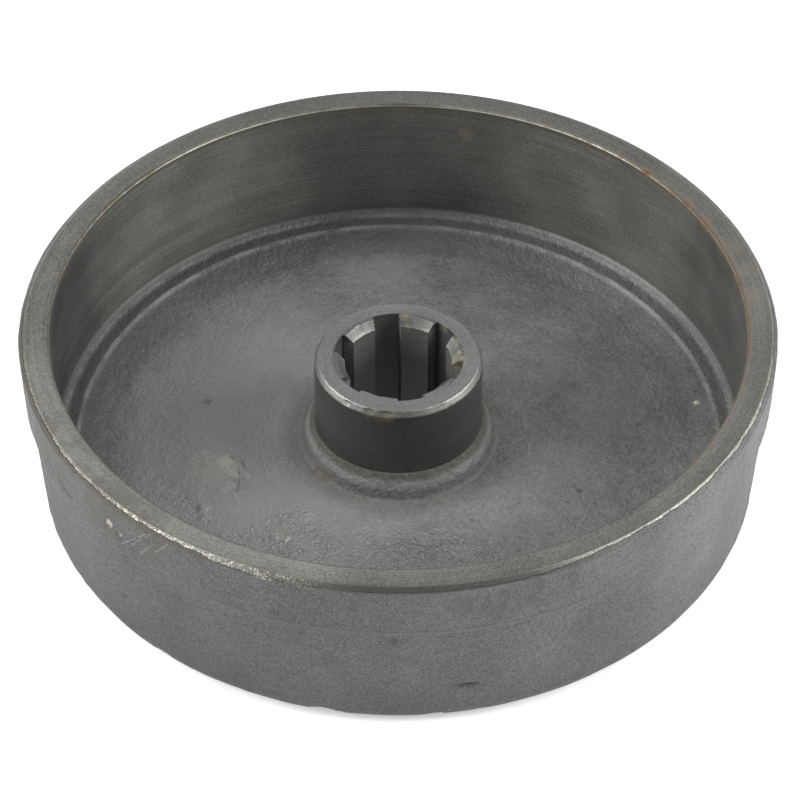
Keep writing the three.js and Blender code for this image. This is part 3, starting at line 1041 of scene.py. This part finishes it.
def web_skin(iron):
    """The floor's cast skin: darker behind as painted shade and darker in front, with painted glints in
    front, and pale on the left.
    """
    finish = iron.gained(
        iron.cast(CAST_DARK, CAST_LIGHT, 1.0, 0.8),
        # Painted shade behind.
        (iron.sector(108, 50, 40), -0.12),
        (iron.times(iron.sector(FRONT_ANGLE, 30, 30), iron.band(iron.radius, 44, 80, 8)), -0.2),
    )
    # Painted glints in front.
    glint_zone = iron.times(iron.sector(FRONT_ANGLE - 4, 44, 26), iron.band(iron.radius, 36, 80, 10))
    finish = iron.sparkling(finish, iron.times(glint_zone, 0.7))
    pale = iron.times(iron.sector(204, 46, 46), iron.band(iron.radius, 30, 66, 12), 0.6)
    return iron.stained(finish, iron.most(pale, iron.smudges(WEB_CLOUDS)), CAST_LIGHT, 0.6, 0.5)


def collar_film_and_shade(iron):
    """The olive film round the collar, partly painted shade, worn off the collar's edge, which also leaves
    a painted highlight there, and painted shade against the hub.
    """
    film = iron.ramp(iron.radius, COLLAR_FOOT_RADIUS + 1.0, COLLAR_FOOT_RADIUS + 8.0, 0.36, 0.0)
    worn_lit_edge = iron.band(iron.radius, COLLAR_EDGE_RADIUS - 0.1, COLLAR_EDGE_RADIUS + 0.3, 0.4)
    film = iron.times(film, iron.math("SUBTRACT", 1.0, iron.times(worn_lit_edge, 0.85)))
    return iron.most(film, iron.ramp(iron.radius, HUB_RADIUS + 1.0, HUB_RADIUS + 2.1, 0.8, 0.0))


# Painted shadow along the dark edge of the fold beside the web's blister, and painted highlights along the
# light ones below it.
FOLD_SHADOW = [
    ((209.5, 44.9, 10), (214.4, 43.9, 10)),
    ((214.4, 43.9, 10), (220.2, 44.7, 10)),
    ((220.2, 44.7, 10), (224.9, 47.4, 10)),
]
FOLD_HIGHLIGHTS = [((224.9, 47.9, 10), (229.7, 48.3, 10)), ((227.3, 58.0, 10), (227.6, 60.0, 10))]


def fold_shadow(iron):
    """The painted shadow along the fold's dark edge, broken up."""
    broken = iron.ramp(iron.noise(1.2, 3, 0.7), 0.3, 0.6)
    return iron.times(iron.scratches(FOLD_SHADOW, 0.45, UP), broken, 0.6)


def pebbles(iron, size):
    """The tops of rounded bumps of that size in millimetres, from 0 to 1."""
    inputs = {"Vector": iron.moved(1.2 * size), "Scale": 1 / size, "Smoothness": 0.6}
    cells = iron.add("TexVoronoi", inputs, feature="SMOOTH_F1").outputs[0]
    return iron.ramp(cells, 0.1, 0.7, 1.0, 0.0)


def pebbled(iron, finish):
    """The web's finish with its rough patch in front: small bumps with painted glints on their tops."""
    rough_patch = iron.times(iron.sector(279, 28, 18), iron.band(iron.radius, 42, 74, 8))
    tops = pebbles(iron, 1.0)
    uneven = iron.ramp(iron.noise(4, 3, 0.6), 0.3, 0.65)
    bumps = iron.times(iron.math("ADD", rough_patch, 0.15), uneven, tops)
    # Painted glints on the tops of the bumps.
    glints = iron.times(rough_patch, uneven, iron.ramp(tops, 0.6, 0.95), 0.45)
    raised = iron.total((finish.bump, 1.0), (bumps, 5.0))
    return iron.stained(finish, glints, WORN_AND_HIGHLIGHT, 0.45, 0.6)._replace(bump=raised)


def web_material():
    iron = Iron("drum_web_iron")
    # Painted shade in the corner at the collar's foot.
    corner = iron.band(iron.radius, COLLAR_FOOT_RADIUS - 0.8, COLLAR_FOOT_RADIUS + 0.4, 0.9)
    # Painted highlights below the fold.
    fold_highlight = iron.times(iron.scratches(FOLD_HIGHLIGHTS, 0.5, UP), 0.22)
    finish = iron.layered(
        web_skin(iron),
        # Painted shade in the corner of the cup.
        (corner_shade(iron), GRIME_AND_SHADE, 0.6, 0.4),
        # Olive film and painted shade round the collar.
        (collar_film_and_shade(iron), OLIVE, 0.6, 0.4),
        # Painted shade in the corner at the collar's foot.
        (iron.times(corner, 0.25), GRIME_AND_SHADE, 0.6, 0.4),
        # Dark spots, and the painted shadow along the fold.
        (iron.most(iron.smudges(WEB_SPOTS), fold_shadow(iron)), GRIME_AND_SHADE, 0.7, 0.3),
        # Light spots, partly painted light on the blister's top, and painted highlights below the fold.
        (iron.most(iron.smudges(WEB_LIGHT_AND_LIT_SPOTS), fold_highlight), WORN_AND_HIGHLIGHT, 0.5, 0.5),
        (iron.smudges(COLLAR_RUST), RUST),
    )
    return iron.done(pebbled(iron, finish))


def bore_finish(iron):
    """The broached bore: darker in its slots and further down as painted shade, and lighter on their
    flanks.
    """
    in_slot = iron.ramp(iron.radius, SPLINE_MAJOR_RADIUS - 0.4, SPLINE_MAJOR_RADIUS - 0.1)
    flanks = iron.times(
        iron.band(iron.radius, SPLINE_MINOR_RADIUS + 0.4, SPLINE_MAJOR_RADIUS - 0.7, 0.3),
        iron.ramp(iron.height, HUB_HEIGHT - 2.4, HUB_HEIGHT - 2.0, 1.0, 0.0),
    )
    deep = iron.ramp(iron.height, HUB_HEIGHT - 18, HUB_HEIGHT - 5, 1.0, 0.0)
    bore = iron.turned(BORE_DARK, BORE_LIGHT, 0.5)
    # Painted shade in the slots and deep in the bore.
    return iron.gained(bore, (in_slot, -0.3), (flanks, 0.6), (deep, -0.25))


def hub_material():
    iron = Iron("drum_hub_iron")
    in_bore = iron.ramp(iron.radius, SPLINE_MAJOR_RADIUS + 0.1, SPLINE_MAJOR_RADIUS + 0.4, 1.0, 0.0)
    on_chamfer = iron.ramp(iron.height, HUB_CHAMFER_FOOT - 0.1, HUB_CHAMFER_FOOT + 0.15)
    on_face = iron.ramp(iron.height, HUB_HEIGHT - 0.15, HUB_HEIGHT - 0.03)
    oiled = iron.turned(OILED_DARK, OILED_LIGHT, TURNED_METALLIC, 0.15)
    finish = iron.joined(in_bore, oiled, bore_finish(iron))
    finish = iron.joined(on_chamfer, finish, iron.turned(TURNED_DARK, TURNED_LIGHT, TURNED_METALLIC))
    finish = finish._replace(rough=iron.most(finish.rough, iron.times(on_chamfer, 0.56)))
    finish = iron.joined(on_face, finish, iron.turned(FACED_DARK, FACED_LIGHT))
    on_wall = iron.math("SUBTRACT", iron.math("SUBTRACT", 1.0, on_chamfer), in_bore)
    # Painted light: the hub's wall lighter at the sides than in front.
    sides = iron.math("SUBTRACT", 1.0, iron.sector(FRONT_ANGLE, 22, 40))
    finish = iron.gained(finish, (iron.times(on_wall, sides), 0.3))
    finish = iron.layered(
        finish,
        (iron.smudges(HUB_BURNS), BROWN, 0.7, 0.3),
        (iron.smudges(MOUTH_SCALE), SCALE, 0.7, 0.2),
    )
    return iron.done(finish)


def finish_piece(piece, material, slot, *nodes):
    piece.data.materials.append(material)
    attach(piece, "root")
    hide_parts(*nodes)


finish_piece(make_rim(), rim_material(), "ring_iron", "brake_ring", "back_ring")
finish_piece(make_web(), web_material(), "web_iron", "web_plate", "hub_collar")
finish_piece(make_hub(), hub_material(), "hub_iron", "splined_hub")


# ---------------------------------------------------------------- floor and light

FLOOR_SIZE = 12.0  # metres
FLOOR_COLOUR = (0.88, 0.88, 0.88, 1.0)
FLOOR_GLOW = 0.4


def make_floor():
    mesh = bpy.data.meshes.new("floor")
    half = FLOOR_SIZE / 2
    corners = [(-half, -half, 0), (half, -half, 0), (half, half, 0), (-half, half, 0)]
    mesh.from_pydata(corners, [], [(0, 1, 2, 3)])
    floor = bpy.data.objects.new("floor", mesh)
    bpy.context.scene.collection.objects.link(floor)
    material = bpy.data.materials.new("floor")
    tree = Tree(material)
    glow = {"Emission Color": FLOOR_COLOUR, "Emission Strength": FLOOR_GLOW}
    shader = tree.add("BsdfPrincipled", {"Base Color": FLOOR_COLOUR, "Roughness": 0.9, **glow})
    tree.add("OutputMaterial", {0: shader.outputs[0]})
    mesh.materials.append(material)


SOFTBOX_TURN = 80  # degrees round from the view, to either side
SOFTBOX_ELEVATION = 32
SOFTBOX_DISTANCE = 1.3  # metres, as are the next two
SOFTBOX_WIDTH = 0.8
SOFTBOX_HEIGHT = 0.9
SOFTBOX_POWER = 18  # watts


def make_softbox(name, turn):
    """A soft light that faces the drum, turned that many degrees round from the view."""
    data = bpy.data.lights.new(name, "AREA")
    data.shape = "RECTANGLE"
    data.size = SOFTBOX_WIDTH
    data.size_y = SOFTBOX_HEIGHT
    data.energy = SOFTBOX_POWER
    light = bpy.data.objects.new(name, data)
    towards = direction(VIEW_AZIMUTH + turn, SOFTBOX_ELEVATION)
    light.location = towards * SOFTBOX_DISTANCE
    light.rotation_euler = (-towards).to_track_quat("-Z", "Y").to_euler()
    bpy.context.scene.collection.objects.link(light)


HORIZON_LIGHT = 0.8
MIDDLE_LIGHT = 0.72
OVERHEAD_LIGHT = 0.10
FRONT_SHARE = 0.35  # how far the room in front is as bright as the room behind


def make_world():
    """A pale room: bright near the horizon, and darker overhead and in front."""
    world = bpy.data.worlds.new("room")
    bpy.context.scene.world = world
    tree = Tree(world)
    towards = tree.add("TexCoord").outputs["Generated"]
    rise = tree.add("SeparateXYZ", {0: towards}).outputs[2]
    low = tree.ramp(rise, 0.25, 0.6, HORIZON_LIGHT, MIDDLE_LIGHT)
    level = tree.blend_number(tree.ramp(rise, 0.68, 0.92), low, OVERHEAD_LIGHT)
    facing = tree.vector_math("DOT_PRODUCT", towards, direction(VIEW_AZIMUTH, 0), output=1)
    share = tree.ramp(facing, -0.3, 0.5, 1.0, FRONT_SHARE)
    background = tree.add("Background", {0: grey(1.0, 0.003), 1: tree.times(level, share)})
    tree.add("OutputWorld", {0: background.outputs[0]})


make_floor()
make_softbox("left_softbox", -SOFTBOX_TURN)
make_softbox("right_softbox", SOFTBOX_TURN)
make_world()
bpy.context.scene.view_settings.view_transform = "Standard"
